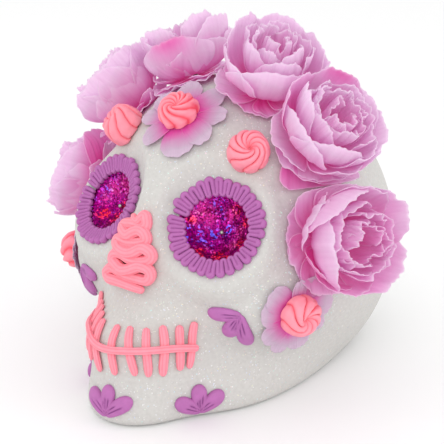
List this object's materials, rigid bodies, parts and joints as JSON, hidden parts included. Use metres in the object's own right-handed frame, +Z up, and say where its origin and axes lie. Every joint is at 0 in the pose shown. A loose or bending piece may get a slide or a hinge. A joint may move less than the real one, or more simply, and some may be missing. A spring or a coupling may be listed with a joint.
{
  "type": "sugar skull",
  "caption": "Craft sugar skull with a flat base: piped icing round sequin-cloth eye sockets, piped nose, mouth and rosettes, and an arch of silk peonies over the crown.",
  "frame": {"origin": "on the table, under the middle of the flat base on the skull's plane of symmetry", "axes": "+Z up, the face looks along -Y, +X is the skull's own left"},
  "size_m": [0.2671, 0.2505, 0.2271],
  "materials": {
    "foam": "white craft foam with a fine iridescent glitter coat",
    "cloth_foil": "magenta sequin foil cloth, glittering",
    "pin_metal": "silver bead-headed pin",
    "lilac_icing": "lilac piped modelling paste, soft sheen",
    "pink_icing": "pink piped modelling paste, soft sheen",
    "blossom_cloth": "thin pale lilac cloth with a magenta middle",
    "peony_silk": "lilac-pink artificial silk petals with pale edges",
    "stem_plastic": "moulded green flower stem"
  },
  "bodies": {
    "root": {"skull_body": "foam", "eye_foil_left": "cloth_foil", "eye_pin_left": "pin_metal", "eye_rim_left": "lilac_icing", "eye_foil_right": "cloth_foil", "eye_pin_right": "pin_metal", "eye_rim_right": "lilac_icing", "nose_piping": "pink_icing", "mouth_bar": "pink_icing", "tooth_01": "pink_icing", "tooth_02": "pink_icing", "tooth_03": "pink_icing", "tooth_04": "pink_icing", "tooth_05": "pink_icing", "tooth_06": "pink_icing", "tooth_07": "pink_icing", "tooth_08": "pink_icing", "tooth_09": "pink_icing", "tooth_10": "pink_icing", "tooth_11": "pink_icing", "rosette_forehead": "pink_icing", "rosette_temple_left": "pink_icing", "rosette_temple_right": "pink_icing", "rosette_cheek_left": "pink_icing", "rosette_cheek_right": "pink_icing", "blossom_forehead": "blossom_cloth", "blossom_cheek_left": "blossom_cloth", "blossom_cheek_right": "blossom_cloth", "sprig_cheek_left": "lilac_icing", "sprig_cheek_right": "lilac_icing", "sprig_chin": "lilac_icing", "sprig_jaw_left": "lilac_icing", "sprig_jaw_right": "lilac_icing", "peony_left_crown_guard_petals": "peony_silk", "peony_left_crown_cup_petals": "peony_silk", "peony_left_crown_heart_petals": "peony_silk", "peony_left_crown_stem": "stem_plastic", "peony_right_crown_guard_petals": "peony_silk", "peony_right_crown_cup_petals": "peony_silk", "peony_right_crown_heart_petals": "peony_silk", "peony_right_crown_stem": "stem_plastic", "peony_left_temple_guard_petals": "peony_silk", "peony_left_temple_cup_petals": "peony_silk", "peony_left_temple_heart_petals": "peony_silk", "peony_left_temple_stem": "stem_plastic", "peony_right_temple_guard_petals": "peony_silk", "peony_right_temple_cup_petals": "peony_silk", "peony_right_temple_heart_petals": "peony_silk", "peony_right_temple_stem": "stem_plastic", "peony_left_ear_guard_petals": "peony_silk", "peony_left_ear_cup_petals": "peony_silk", "peony_left_ear_heart_petals": "peony_silk", "peony_left_ear_stem": "stem_plastic", "peony_right_ear_guard_petals": "peony_silk", "peony_right_ear_cup_petals": "peony_silk", "peony_right_ear_heart_petals": "peony_silk", "peony_right_ear_stem": "stem_plastic"}
  },
  "joints": []
}
